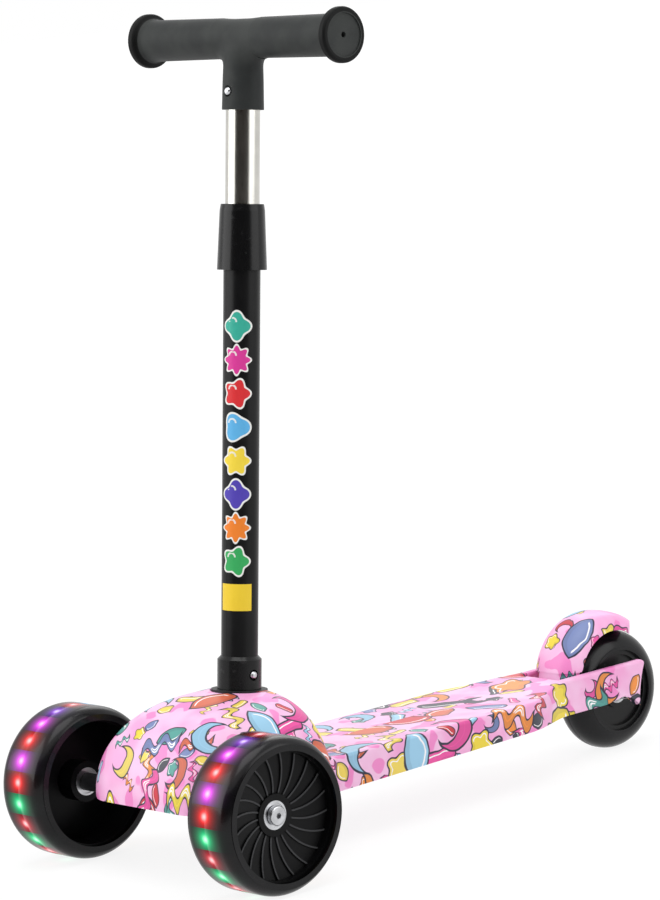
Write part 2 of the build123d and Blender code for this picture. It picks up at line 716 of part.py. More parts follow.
def make_stem():
    tube_top = collar_top_up - collar_cover
    bare = lower_tube_dia - 2 * paint_thickness
    edge = socket_rise - socket_chamfer
    socket = stem_bar(-socket_depth, edge, socket_dia)
    socket += stem_bar(edge, socket_rise, socket_dia, socket_dia - 2 * socket_chamfer)
    socket -= stem_bar(-socket_depth, socket_rise, bare)
    tube = stem_bar(socket_rise, collar_foot_up, lower_tube_dia) + stem_bar(-socket_depth, tube_top, bare)
    tube -= stem_bar(-socket_depth, tube_top, lower_tube_bore)
    button, spring, hole, window = snap_button(stem_button_up, "left", socket_dia, lower_tube_bore)
    pieces["stem_socket"] = socket - window
    pieces["lower_tube"] = tube - hole
    pieces["stem_button"] = button
    pieces["stem_button_spring"] = spring
    pieces["socket_ring"] = stem_sleeve(-ring_height / 2, ring_height / 2, ring_dia, socket_dia)

    collet_dia = bare + 2 * collet_wall
    finger_top = tube_top + collet_finger_length
    collet = stem_sleeve(collar_foot_up + motion_gap, tube_top, collet_dia, bare)
    collet += stem_sleeve(tube_top, finger_top, collet_dia, upper_tube_dia + 2 * running_gap)
    slot = Box(long_cut, collet_slot, long_cut, align=UP)
    for number in range(collet_slots // 2):
        collet -= stem_plane(tube_top) * Rot(Z=360 / collet_slots * number) * slot
    pieces["collet"] = collet

    collar = stem_bar(collar_foot_up, collar_top_up - collar_bevel, collar_foot_dia, collar_bevel_dia)
    collar += stem_bar(collar_top_up - collar_bevel, collar_top_up, collar_bevel_dia, collar_top_dia)
    collar -= stem_bar(collar_foot_up, finger_top + motion_gap, collet_dia + 2 * motion_gap)
    collar -= stem_bar(collar_foot_up, collar_top_up, upper_tube_dia + 2 * sliding_gap)
    pieces["height_collar"] = collar


def make_handlebar():
    seat_top = tee_foot_up + tee_seat_depth
    tube = stem_sleeve(upper_tube_foot_up, seat_top, upper_tube_dia, upper_tube_bore)
    plug_dia = lower_tube_bore - 2 * running_gap
    plug = stem_bar(upper_tube_foot_up - tube_plug_head, upper_tube_foot_up, plug_dia)
    plug += stem_bar(upper_tube_foot_up, upper_tube_foot_up + tube_plug_spigot, upper_tube_bore)
    pieces["tube_plug"] = plug
    bar_place = stem_plane(handle_up)
    neck_up = handle_up - tee_barrel_dia / 2
    socket = stem_bar(tee_foot_up, neck_up, tee_foot_dia, tee_neck_dia)
    socket += stem_bar(neck_up, handle_up, tee_neck_dia)
    barrel_half = tee_barrel_length / 2
    tee = socket + bar_place * along_y(tee_barrel_dia / 2, -barrel_half, barrel_half)
    core_half = handlebar_width / 2 - grip_end_wall
    tee += bar_place * along_y(handlebar_core_dia / 2, -core_half, core_half)
    core_bore = handlebar_core_dia / 2 - handlebar_core_wall
    for low, high in ((-core_half, -barrel_half), (barrel_half, core_half)):
        tee -= bar_place * along_y(core_bore, low, high)
    tee -= stem_bar(tee_foot_up, seat_top, upper_tube_dia)
    button_up = tee_foot_up + handle_button_up
    button, spring, hole, window = snap_button(button_up, "forward", tee_foot_dia, upper_tube_bore)
    pieces["upper_tube"] = tube - hole
    pieces["handlebar_tee"] = tee - window
    pieces["handle_button"] = button
    pieces["handle_button_spring"] = spring
    left = bar_place * grip()
    pieces["left_grip"] = left
    pieces["right_grip"] = mirror(left, about=Plane.XZ)


def grip():
    """Left grip along Y: tapered sleeve that flares into an end flange with a centre hole."""
    start = tee_barrel_length / 2
    end = handlebar_width / 2
    flange_start = end - grip_flange_width
    flare_start = flange_start - grip_flare
    flange = grip_flange_dia / 2
    outer = grip_outer_dia / 2
    inner = grip_inner_dia / 2
    body = Polyline((flange_start, flange), (end, flange), (end, 0), (start, 0), (start, inner),
                    (flare_start, outer))
    slope = (flare_start - start, outer - inner)
    flare = TangentArc((flare_start, outer), (flange_start, flange), tangent=slope)
    profile = make_face([body, flare])
    rim = profile.vertices().sort_by(Axis.Y)[-2:]
    profile = fillet(rim, grip_rim_radius)
    sleeve = turned(profile)
    sleeve -= along_y(handlebar_core_dia / 2, 0, end - grip_end_wall)
    sleeve -= along_y(grip_face_dia / 2, end - grip_face_depth, end)
    return sleeve - along_y(grip_hole_dia / 2, 0, end)


def arc_about(x, z, profile, start_deg, end_deg):
    """Sweeps a (radius, Y) profile round a line along Y, angles counted up from forward."""
    swept = revolve(profile, Axis((0, 0, 0), (0, -1, 0)), end_deg - start_deg)
    return Pos(x, 0, z) * Rot(Y=-start_deg) * swept


def fender_profile(half, inset):
    """Domed section with deep side walls; the inside is flat across the pad."""
    wall_foot = lip_radius / 2
    edge = fender_edge_radius - inset
    walls = Polyline((edge, half), (wall_foot, half), (wall_foot, -half), (edge, -half))
    crown = ThreePointArc((edge, -half), (fender_crown_radius - inset, 0), (edge, half))
    outer = make_face([walls, crown])
    outer = fillet(outer.vertices().sort_by(Axis.X)[-2:], fender_corner)
    inside = RectangleRounded(
        2 * (fender_roof - inset), 2 * (half - fender_wall), fender_corner - fender_wall)
    return outer - inside


def fender_hood(root_half):
    """Mudguard above the fork arms, on a root between them: trimmed side walls, rear end a round tongue."""
    hood = arc_about(fender_x, fender_z, fender_profile(fender_width / 2, 0), 0, fender_end_deg)
    hood -= Pos(rear_axle_x, 0, 0) * Box(long_cut, long_cut, arm_top_z + fender_arm_gap, align=UP)
    root = fender_profile(root_half, fender_root_inset)
    hood += arc_about(fender_x, fender_z, root, fender_foot_deg, fender_root_deg)
    hood -= Pos(rear_axle_x + lip_ahead, 0, rear_axle_z + lip_lift) * along_y(
        lip_radius, -fender_width, fender_width)
    tongue_x = rear_axle_x + tongue_ahead
    plan = Pos(tongue_x, 0, 0) * Cylinder(fender_width / 2, long_cut, align=UP)
    plan += Pos(tongue_x, 0, 0) * Box(long_cut, fender_width, long_cut,
                                      align=(Align.MIN, Align.CENTER, Align.MIN))
    return hood & plan


def make_fender():
    root_half = fork_half - hinge_side_gap
    hinge_x, hinge_z = hinge_point()
    pin_place = Pos(hinge_x, 0, hinge_z)
    barrel_radius = hinge_barrel_dia / 2
    barrel = pin_place * along_y(barrel_radius, -root_half, root_half)
    heel = Pos(hinge_x, 0, hinge_z - barrel_radius) * Box(barrel_radius, heel_width, hinge_barrel_dia / 3)
    fender = fender_hood(root_half)
    fender += [barrel, heel]
    fender -= pin_place * along_y(hinge_pin_dia / 2 + running_gap, -long_cut, long_cut)
    pieces["fender"] = fender
    pad_foot = rear_wheel_dia / 2 + pad_gap
    pad = Pos(pad_foot + fender_crown_radius / 2, 0) * Rectangle(fender_crown_radius, pad_width)
    pad = arc_about(rear_axle_x, rear_axle_z, pad, pad_start_deg, pad_end_deg)
    pieces["brake_pad"] = pad & (Pos(fender_x, 0, fender_z) * along_y(fender_roof, -pad_width, pad_width))
    pieces["fender_pin"] = pin_place * along_y(hinge_pin_dia / 2, -fork_outer, fork_half + hinge_pin_bite)
    crotch = rear_axle_x + deck_crotch
    leaf_top = hinge_z - barrel_radius - hinge_barrel_dia / 6 - axial_gap
    length = crotch - hinge_x + barrel_radius
    pieces["brake_spring"] = Pos(crotch, 0, leaf_top) * Box(
        length, heel_width, leaf_thickness, align=(Align.MAX, Align.CENTER, Align.MAX))


def main():
    make_deck()
    make_front_cover()
    make_bracket()
    make_screws()
    make_truck()
    make_stem()
    make_handlebar()
    make_front_wheels()
    make_rear_wheel()
    make_fender()
    os.makedirs("parts", exist_ok=True)
    for name, piece in pieces.items():
        export_step(piece, os.path.join("parts", name + ".step"))
    print("pieces", len(pieces))


main()
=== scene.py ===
import json
import math

import bmesh
import bpy
import numpy as np
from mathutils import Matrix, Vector


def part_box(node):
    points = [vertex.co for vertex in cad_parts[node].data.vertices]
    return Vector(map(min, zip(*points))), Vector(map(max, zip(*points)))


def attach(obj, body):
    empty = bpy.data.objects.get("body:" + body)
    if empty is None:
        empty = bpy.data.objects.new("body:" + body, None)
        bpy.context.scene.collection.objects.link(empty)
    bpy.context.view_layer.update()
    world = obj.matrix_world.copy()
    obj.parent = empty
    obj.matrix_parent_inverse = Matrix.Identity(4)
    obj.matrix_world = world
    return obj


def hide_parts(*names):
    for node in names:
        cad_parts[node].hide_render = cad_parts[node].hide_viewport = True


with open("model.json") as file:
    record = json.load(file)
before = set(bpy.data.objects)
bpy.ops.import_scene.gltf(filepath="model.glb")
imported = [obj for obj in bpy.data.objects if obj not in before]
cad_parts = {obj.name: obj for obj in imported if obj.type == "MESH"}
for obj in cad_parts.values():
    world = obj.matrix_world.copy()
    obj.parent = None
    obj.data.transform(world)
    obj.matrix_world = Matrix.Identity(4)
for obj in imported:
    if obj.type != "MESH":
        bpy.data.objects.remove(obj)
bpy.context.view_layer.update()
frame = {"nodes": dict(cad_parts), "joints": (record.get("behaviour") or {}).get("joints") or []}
nodes = frame["nodes"]
joints = {joint["name"]: joint for joint in frame["joints"]}
mm = 0.001
print("frame loaded:", len(nodes), "nodes")


class Flow:
    # one socket of a finish: sums and products of flows add Math nodes
    def __init__(self, finish, socket):
        self.finish = finish
        self.socket = socket

    def other(self, name):
        return Flow(self.finish, self.socket.node.outputs[name])

    def pair(self, operation, first, second):
        return self.finish.node("ShaderNodeMath", {"operation": operation}, {0: first, 1: second})

    def one(self, operation):
        return self.finish.node("ShaderNodeMath", {"operation": operation}, {0: self})

    def least(self, second):
        return self.pair("MINIMUM", self, second)

    def most(self, second):
        return self.pair("MAXIMUM", self, second)

    def below(self, limit):
        return self.pair("LESS_THAN", self, limit)

    def ease(self, low, high):
        # 0 at low, 1 at high, smooth between
        return self.finish.node("ShaderNodeMapRange", {"interpolation_type": "SMOOTHSTEP"},
                                {"Value": self, "From Min": low, "From Max": high})

    def __add__(self, second):
        return self.pair("ADD", self, second)

    def __radd__(self, first):
        return self.pair("ADD", first, self)

    def __sub__(self, second):
        return self.pair("SUBTRACT", self, second)

    def __rsub__(self, first):
        return self.pair("SUBTRACT", first, self)

    def __mul__(self, second):
        return self.pair("MULTIPLY", self, second)

    def __rmul__(self, first):
        return self.pair("MULTIPLY", first, self)

    def __truediv__(self, second):
        return self.pair("DIVIDE", self, second)

    def __pow__(self, second):
        return self.pair("POWER", self, second)

    def __abs__(self):
        return self.one("ABSOLUTE")


class Finish:
    # a material and the nodes that it is made of
    def __init__(self, name):
        self.material = bpy.data.materials.new(name)
        self.material.use_nodes = True
        self.tree = self.material.node_tree
        self.tree.nodes.clear()

    def node(self, kind, settings=None, inputs=None, out=0):
        made = self.tree.nodes.new(kind)
        for key, value in (settings or {}).items():
            if key == "stops":
                setStops(made.color_ramp, value)
            else:
                setattr(made, key, value)
        for key, value in (inputs or {}).items():
            if isinstance(value, Flow):
                self.tree.links.new(value.socket, made.inputs[key])
            else:
                made.inputs[key].default_value = value
        return Flow(self, made.outputs[out]) if len(made.outputs) else None

    def place(self):
        # where a point is on the object, in millimetres of the shared frame
        spot = self.node("ShaderNodeTexCoord", out="Object")
        parts = self.node("ShaderNodeSeparateXYZ", inputs={0: spot})
        return [parts.other(axis) * 1000 for axis in "XYZ"]

    def vector(self, x, y, z=0.0):
        return self.node("ShaderNodeCombineXYZ", inputs={0: x, 1: y, 2: z})

    def noise(self, scale, detail=2.0, roughness=0.5, where=None):
        # scale is in cells per metre
        spot = where or self.node("ShaderNodeTexCoord", out="Object")
        return self.node("ShaderNodeTexNoise", inputs={
            "Vector": spot, "Scale": scale, "Detail": detail, "Roughness": roughness})

    def mix(self, share, first, second):
        # colours only
        return self.node("ShaderNodeMix", {"data_type": "RGBA"}, {0: share, 6: first, 7: second}, out=2)

    def bump(self, height, strength, distance):
        return self.node("ShaderNodeBump", inputs={
            "Height": height, "Strength": strength, "Distance": distance})

    def close(self, **inputs):
        # inputs of the shader, with underscores for the spaces in their names
        named = {key.replace("_", " "): value for key, value in inputs.items()}
        shader = self.node("ShaderNodeBsdfPrincipled", inputs=named)
        self.node("ShaderNodeOutputMaterial", inputs={"Surface": shader})
        return self.material


def setStops(ramp, stops):
    # stops: interpolation, then (place, colour) pairs
    ramp.interpolation = stops[0]
    pairs = stops[1]
    while len(ramp.elements) < len(pairs):
        ramp.elements.new(1.0)
    for element, (spot, colour) in zip(ramp.elements, pairs):
        element.position = spot
        element.color = colour


def tint(red, green, blue):
    # a colour as seen on a screen, 0 to 255, turned into the renderer's own
    def straight(level):
        level /= 255
        return level / 12.92 if level <= 0.04045 else ((level + 0.055) / 1.055) ** 2.4
    return (straight(red), straight(green), straight(blue), 1.0)


def hypot(x, y):
    return (x * x + y * y).one("SQRT")


# Printed plastic: pink with a scatter of outlined shapes, on the deck, front cover and fender

printPlan = {
    "pink": tint(242, 166, 214),
    "pinkDeep": tint(238, 128, 196),
    "pinkPale": tint(246, 196, 230),
    "ink": tint(40, 40, 60),
    "white": tint(250, 246, 248),
    "palette": [tint(238, 214, 66), tint(214, 104, 72), tint(156, 204, 232), tint(236, 84, 164),
                tint(118, 134, 182), tint(84, 158, 150), tint(58, 60, 72), tint(240, 214, 96),
                tint(240, 146, 66), tint(206, 58, 70)],
    "layers": [  # cell in mm, seed, share of empty cells, line width in mm
        (58.0, 3.7, 0.05, 1.7),
        (42.0, 11.3, 0.15, 1.5),
        (23.0, 27.9, 0.35, 1.0),
    ],
    "edge": 0.25,                       # softness of a printed edge in mm
    "wobble": 2.6,                      # how far a line strays, in mm
    "scatter": 0.6,                     # how far shapes stray from a regular grid
    "dash": (0.27, 0.12),               # half length, radius; lengths from here on are in cells
    "splash": (0.27, 0.045, 5),         # radius, swing, lobes
    "moon": (0.32, 0.27, 0.17),         # radius, bite, how far the bite is shifted
    "wave": (0.11, 17, 0.085, 0.38),    # swing, rate, half thickness, half length
    "leaf": (0.2, 0.42),                # shift, radius
    "upTo": {"wave": 0.8, "moon": 0.6, "splash": 0.42, "dash": 0.22},   # shares; the rest are leaves
    "gap": 0.05,                        # from a shape to the border of its cell
    "streak": (0.06, 0.014, 0.03),      # inset, half width, fade
    "shadow": (0.045, 0.3, 0.01, 0.16),     # inset, tilt, fade, strength
    "blotch": (0.56, 0.585, 0.85),      # noise where a deep pink patch starts, is full, and its strength
}


def shapeScatter(f, u, v, layer, ground):
    plan = printPlan
    cell, seed, empty, line = layer
    spot = f.vector(u / cell + seed, v / cell + seed * 1.7)
    scatter = {"Vector": spot, "Scale": 1.0, "Randomness": plan["scatter"]}
    cells = f.node("ShaderNodeTexVoronoi", {"voronoi_dimensions": "2D", "feature": "F1"}, scatter,
                   out="Position")
    border = f.node("ShaderNodeTexVoronoi", {"voronoi_dimensions": "2D", "feature": "DISTANCE_TO_EDGE"},
                    scatter, out="Distance")
    local = f.node("ShaderNodeVectorMath", {"operation": "SUBTRACT"}, {0: spot, 1: cells})
    parts = f.node("ShaderNodeSeparateXYZ", inputs={0: local})
    dice = f.node("ShaderNodeSeparateColor", inputs={0: cells.other("Color")})
    turn, kind, pick = dice, dice.other("Green"), dice.other("Blue")
    c = (turn * math.tau).one("COSINE")
    s = (turn * math.tau).one("SINE")
    x = parts * c + parts.other("Y") * s
    y = parts.other("Y") * c - parts * s
    radius = hypot(x, y)
    around = f.node("ShaderNodeMath", {"operation": "ARCTAN2"}, {0: y, 1: x})

    shapes = {}
    half, end = plan["dash"]
    shapes["dash"] = hypot((abs(x) - half).most(0.0), y) - end
    middle, swing, lobes = plan["splash"]
    shapes["splash"] = radius - middle - swing * (around * lobes).one("SINE")
    outer, bite, shift = plan["moon"]
    shapes["moon"] = (radius - outer).most(bite - hypot(x, y - shift))
    swing, rate, thick, half = plan["wave"]
    shapes["wave"] = (abs(y - swing * (x * rate).one("SINE")) - thick).most(abs(x) - half)
    shift, outer = plan["leaf"]
    distance = hypot(x, abs(y) + shift) - outer
    for shape, limit in plan["upTo"].items():
        chosen = kind.below(limit)
        distance = distance + chosen * (shapes[shape] - distance)
    distance = distance.most(plan["gap"] - border)

    edge = plan["edge"] / cell
    width = line / cell
    shown = 1 - (pick * 7.31).one("FRACT").below(empty)
    inked = (1 - distance.ease(width - edge, width + edge)) * shown
    filled = (1 - distance.ease(-edge, edge)) * shown
    inset, half, fade = plan["streak"]
    streak = abs(distance + inset).below(half) * y.ease(0.0, fade) * shown
    inset, tilt, fade, strength = plan["shadow"]
    shaded = (distance + inset - y * tilt).ease(-fade, fade) * filled
    colours = plan["palette"]
    fill = f.node("ShaderNodeValToRGB", {"stops": ("CONSTANT", [
        (number / len(colours), colour) for number, colour in enumerate(colours)])}, {0: pick})
    ground = f.mix(inked, ground, plan["ink"])
    ground = f.mix(filled, ground, fill)
    ground = f.mix(shaded * strength, ground, plan["ink"])
    return f.mix(streak, ground, plan["white"])


def printedPlastic(name, unroll, bare=None):
    # unroll gives the two coordinates of the print on a piece, in mm, and bare is 1 where it has none
    plan = printPlan
    f = Finish(name)
    x, y, z = f.place()
    u, v = unroll(f, x, y, z)
    stray = f.noise(70, 1.0)
    drift = f.node("ShaderNodeSeparateColor", inputs={0: stray.other("Color")})
    u = u + (drift - 0.5) * plan["wobble"] * 2
    v = v + (drift.other("Green") - 0.5) * plan["wobble"] * 2
    cloud = f.noise(24, 2.0, 0.55)
    ground = f.mix(cloud.ease(0.38, 0.62), plan["pinkPale"], plan["pink"])
    low, high, strength = plan["blotch"]
    blotch = f.noise(33, 1.5, where=f.vector(u * mm, v * mm, 3.0)).ease(low, high)
    ground = f.mix(blotch * strength, ground, plan["pinkDeep"])
    plain = ground
    for layer in reversed(plan["layers"]):
        ground = shapeScatter(f, u, v, layer, ground)
    if bare:
        ground = f.mix(bare(x, y, z), ground, plain)
    skin = f.noise(420, 2.0)
    handled = f.noise(16, 3.0)
    return f.close(Base_Color=ground, Roughness=0.34 + 0.12 * handled, Specular_IOR_Level=0.35,
                   Coat_Weight=0.08, Coat_Roughness=0.16, Normal=f.bump(skin, 0.06, 0.0004))


unrollPlan = {  # in mm, but for coverFall
    "underHalf": 52,          # half width, height and rear end of the space below the deck
    "underTop": 69,
    "underRear": -108,
    "coverApex": 162.0,       # forward, the crown of the front cover
    "coverFall": 0.8,         # share of the height that stretches the print
    "hoodAhead": 14,          # middle of the fender's hood from the rear axle
    "hoodLift": 13.8,
    "hoodRadius": 54.0,
    "hoodStart": 300,         # where the fender's print starts
    "stemReach": 501.5,       # from the middle of the bar down to the stem's foot
}
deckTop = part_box("deck")[1].z / mm
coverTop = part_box("front_cover")[1].z / mm
rearAxle = [value / mm for value in joints["rear_wheel_spin"]["pos_m"]]
leftAxle = [value / mm for value in joints["left_wheel_spin"]["pos_m"]]
stemUp = Vector(joints["handlebar_height"]["axis"]).normalized()
stemFront = -Vector(joints["handle_button_press"]["axis"]).normalized()
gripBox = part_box("left_grip")
barCentre = Vector(((gripBox[0].x + gripBox[1].x) / 2, 0.0, (gripBox[0].z + gripBox[1].z) / 2))
stemFoot = barCentre - stemUp * unrollPlan["stemReach"] * mm


def unrollDeck(f, x, y, z):
    # the top, with the sides folded out flat
    side = y.one("SIGN")
    return x, y + side * (deckTop - z)


def underDeck(x, y, z):
    # the ribs and cells below the deck, ahead of the fork
    plan = unrollPlan
    return abs(y).below(plan["underHalf"]) * z.below(plan["underTop"]) * (1 - x.below(plan["underRear"]))


def unrollCover(f, x, y, z):
    # straight down from the crown in every direction
    along = x - unrollPlan["coverApex"]
    radius = hypot(along, y).most(1.0)
    reach = (radius + (coverTop - z) * unrollPlan["coverFall"]) / radius
    return along * reach, y * reach


def unrollFender(f, x, y, z):
    # round the middle of the hood
    up = z - rearAxle[2] - unrollPlan["hoodLift"]
    along = x - rearAxle[0] - unrollPlan["hoodAhead"]
    radius = unrollPlan["hoodRadius"]
    angle = f.node("ShaderNodeMath", {"operation": "ARCTAN2"}, {0: up, 1: along})
    return angle * -radius + unrollPlan["hoodStart"], y + y.one("SIGN") * (radius - hypot(along, up))


# Black and grey plastics and rubber

def scaled(colour, share):
    return [level * share for level in colour[:3]] + [1.0]


def mouldedPlastic(name, colour, rough, grain, gloss, shine=0.3):
    f = Finish(name)
    fine = f.noise(grain, 3.0, 0.6)
    broad = f.noise(28, 3.0)
    dust = f.noise(160, 2.0).ease(0.62, 0.8)
    shade = f.mix(broad.ease(0.35, 0.7) * 0.5, colour, scaled(colour, 1.5))
    shade = f.mix(dust * 0.05, shade, tint(150, 150, 150))
    return f.close(Base_Color=shade, Roughness=rough + 0.14 * (broad - 0.5) + 0.08 * dust,
                   Coat_Weight=gloss, Coat_Roughness=0.08, Specular_IOR_Level=shine,
                   Normal=f.bump(fine, 0.12, 0.0003))


hubPlan = {
    "dish": tint(8, 8, 9),
    # the next colour is a painted highlight on the tops of the ribs
    "rib": tint(70, 70, 72),
    "boss": (16.0, 9.5),      # out from the axle and across from the wheel's middle, in mm
    "rim": (48.0, 14.0),
    "ribHeight": (0.9, 1.8),  # at the boss, at the rim
    "highlightFrom": (0.35, 0.95),     # share of a rib's height where the painted highlight on its top starts and is full
    "ribStart": (0.0, 0.06),      # shares of the way from boss to rim
    "ribEnd": (0.97, 0.99),
}


def ribbedHub(name, wheelCentre):
    # black dish, with a painted highlight on the tops of its ribs
    f = Finish(name)
    x, y, z = f.place()
    out = hypot(x - wheelCentre[0], z - wheelCentre[2])
    across = abs(y) - abs(wheelCentre[1])
    (bossOut, bossAcross), (rimOut, rimAcross) = hubPlan["boss"], hubPlan["rim"]
    share = (out - bossOut) / (rimOut - bossOut)
    bossRib, rimRib = hubPlan["ribHeight"]
    height = bossRib + share * (rimRib - bossRib)
    rise = (across - bossAcross - share * (rimAcross - bossAcross)) / height
    # painted highlight: the upper share of each rib's height is mixed towards the paler rib colour
    top = rise.ease(*hubPlan["highlightFrom"]) * share.ease(*hubPlan["ribStart"])
    top = top * (1 - share.ease(*hubPlan["ribEnd"]))
    broad = f.noise(45, 3.0)
    fine = f.noise(500, 3.0, 0.6)
    shade = f.mix(broad.ease(0.3, 0.7), hubPlan["dish"], scaled(hubPlan["dish"], 1.8))
    shade = f.mix(top * (0.6 + 0.4 * broad), shade, hubPlan["rib"])
    return f.close(Base_Color=shade, Roughness=0.34 + 0.12 * broad, Specular_IOR_Level=0.12,
                   Normal=f.bump(fine, 0.1, 0.0003))


gripPlan = {
    "dark": tint(46, 48, 48),
    "light": tint(58, 60, 59),
    "rubbed": tint(86, 88, 87),
    "rim": tint(9, 10, 10),
    "rimFrom": (106.5, 17.2),     # across from the middle of the bar, out from its axis, in mm
    "rimFade": 0.4,
}


def gripRubber():
    f = Finish("gripRubber")
    x, y, z = f.place()
    grain = f.noise(900, 2.0, 0.55)
    broad = f.noise(35, 3.0)
    shade = f.mix(broad.ease(0.3, 0.7), gripPlan["dark"], gripPlan["light"])
    shade = f.mix(grain.ease(0.6, 0.85) * 0.22, shade, gripPlan["rubbed"])
    out = hypot(x - barCentre.x / mm, z - barCentre.z / mm)
    across, reach = gripPlan["rimFrom"]
    fade = gripPlan["rimFade"]
    rim = abs(y).ease(across - fade, across + fade) * out.ease(reach - fade, reach + fade)
    shade = f.mix(rim * 0.95, shade, gripPlan["rim"])
    return f.close(Base_Color=shade, Roughness=0.46 + 0.16 * broad, Specular_IOR_Level=0.12,
                   Normal=f.bump(grain, 0.2, 0.0004))


# Metals, and the coated tube

def chromePlate():
    f = Finish("chromePlate")
    x, y, z = f.place()
    drawn = f.noise(1.0, 3.0, 0.6, where=f.vector(x * 1.6, y * 1.6, z * 0.012))
    cloud = f.noise(40, 3.0)
    shade = f.mix(cloud.ease(0.3, 0.75), tint(198, 196, 190), tint(184, 183, 178))
    return f.close(Base_Color=shade, Metallic=1.0, Roughness=0.18 + 0.08 * drawn,
                   Normal=f.bump(drawn, 0.03, 0.0002))


def brightSteel(name, colour, rough):
    f = Finish(name)
    scratch = f.noise(700, 4.0, 0.7)
    cloud = f.noise(120, 3.0)
    shade = f.mix(cloud.ease(0.3, 0.7), colour, scaled(colour, 0.72))
    return f.close(Base_Color=shade, Metallic=1.0, Roughness=rough + 0.16 * (scratch - 0.5),
                   Normal=f.bump(scratch, 0.08, 0.0002))


tubePlan = {
    "facing": 34.0,            # degrees from forward, towards the rider's left
    "radius": 14.3,
    "columnFoot": 88.0,        # mm up the stem from its foot
    "pitch": 25.8,
    "size": 9.4,
    "lobeSwing": 1.6,
    "rim": 1.5,
    "edge": 0.2,
    "glint": (3.4, 3.0, 0.7),  # shift, radius and half width of the pale arc on a badge
    "glintInset": (-1.2, -0.8),
    "glintStrength": 0.8,
    "paleRim": tint(236, 236, 232),
    "colours": [tint(60, 170, 96), tint(238, 132, 50), tint(84, 70, 176), tint(240, 212, 70),
                tint(96, 176, 226), tint(214, 52, 56), tint(214, 62, 150), tint(60, 170, 150)],
    "lobes": [5, 8, 4, 6, 3, 5, 8, 4],
    "band": (62.5, 83.5, 13.5),    # foot, top and half width in mm
    "bandFade": 0.3,
    "bandColour": tint(240, 206, 58),
}


def powderCoat():
    # the black tube, with a column of plain coloured badges and a bare yellow patch below them
    f = Finish("powderCoat")
    x, y, z = f.place()
    plan = tubePlan
    orange = f.noise(600, 2.0, 0.5)
    broad = f.noise(30, 3.0)
    shade = f.mix(broad.ease(0.3, 0.7), tint(12, 12, 13), tint(19, 19, 20))
    awayX, awayZ = x - stemFoot.x / mm, z - stemFoot.z / mm
    up = awayX * stemUp.x + awayZ * stemUp.z
    ahead = awayX * stemFront.x + awayZ * stemFront.z
    angle = f.node("ShaderNodeMath", {"operation": "ARCTAN2"}, {0: y, 1: ahead})
    side = (angle - math.radians(plan["facing"])) * plan["radius"]
    count = len(plan["colours"])
    rise = (up - plan["columnFoot"]) / plan["pitch"]
    number = rise.one("FLOOR").most(0.0).least(count - 1.0)
    tall = (rise - number - 0.5) * plan["pitch"]
    turn = f.node("ShaderNodeMath", {"operation": "ARCTAN2"}, {0: tall, 1: side})
    share = (number + 0.5) / count
    lobes = f.node("ShaderNodeValToRGB", {"stops": ("CONSTANT", [
        (spot / count, (lobe / 10,) * 3 + (1.0,)) for spot, lobe in enumerate(plan["lobes"])])}, {0: share})
    lobes = f.node("ShaderNodeSeparateColor", inputs={0: lobes}) * 10
    reach = plan["size"] + plan["lobeSwing"] * (turn * lobes + math.pi / 2).one("SINE")
    distance = hypot(side, tall) - reach
    colour = f.node("ShaderNodeValToRGB", {"stops": ("CONSTANT", [
        (spot / count, hue) for spot, hue in enumerate(plan["colours"])])}, {0: share})
    shift, arc, half = plan["glint"]
    glint = abs(hypot(side + shift, tall - shift) - arc).below(half) * tall.ease(arc, shift)
    rim, edge = plan["rim"], plan["edge"]
    shade = f.mix(1 - distance.ease(rim - edge, rim + edge), shade, plan["paleRim"])
    shade = f.mix(1 - distance.ease(-edge, edge), shade, colour)
    glint = glint * (1 - distance.ease(*plan["glintInset"]))
    shade = f.mix(glint * plan["glintStrength"], shade, plan["paleRim"])
    low, high, half = plan["band"]
    fade = plan["bandFade"]
    patch = up.ease(low, low + fade) * (1 - up.ease(high - fade, high))
    patch = patch * (1 - abs(side).ease(half - fade, half))
    shade = f.mix(patch, shade, plan["bandColour"])
    return f.close(Base_Color=shade, Roughness=0.32 + 0.12 * (broad - 0.5), Specular_IOR_Level=0.17,
                   Normal=f.bump(orange, 0.1, 0.0003))


# Cast polyurethane: the rear tyre is plain, the front tyres are lit from inside by a ring of lights

lightPlan = {
    "count": 22,
    "firstAngle": 14.7,     # degrees from the top of the wheel, forward
    "treadRadius": 59.0,
    "core": 3.0,            # spread of the bright spot and of the glow round it, in mm
    "halo": 6.2,
    "coreLevel": 0.75,
    "haloLevel": 0.5,
    "whitening": 0.45,
    "power": 1.6,
    "magenta": tint(236, 60, 244),
    "violet": tint(120, 30, 190),
    "red": tint(246, 30, 30),
    "ruby": tint(190, 26, 44),
    "green": tint(30, 206, 130),
    "amber": tint(214, 170, 60),
    "blue": tint(40, 140, 196),
    "order": ["violet", "magenta", "red", "magenta", "red", "green", "ruby", "green", "ruby", "green",
              "amber", "ruby", "amber", "ruby", "amber", "ruby", "blue", "ruby", "blue", "ruby", "blue",
              "ruby"],
}


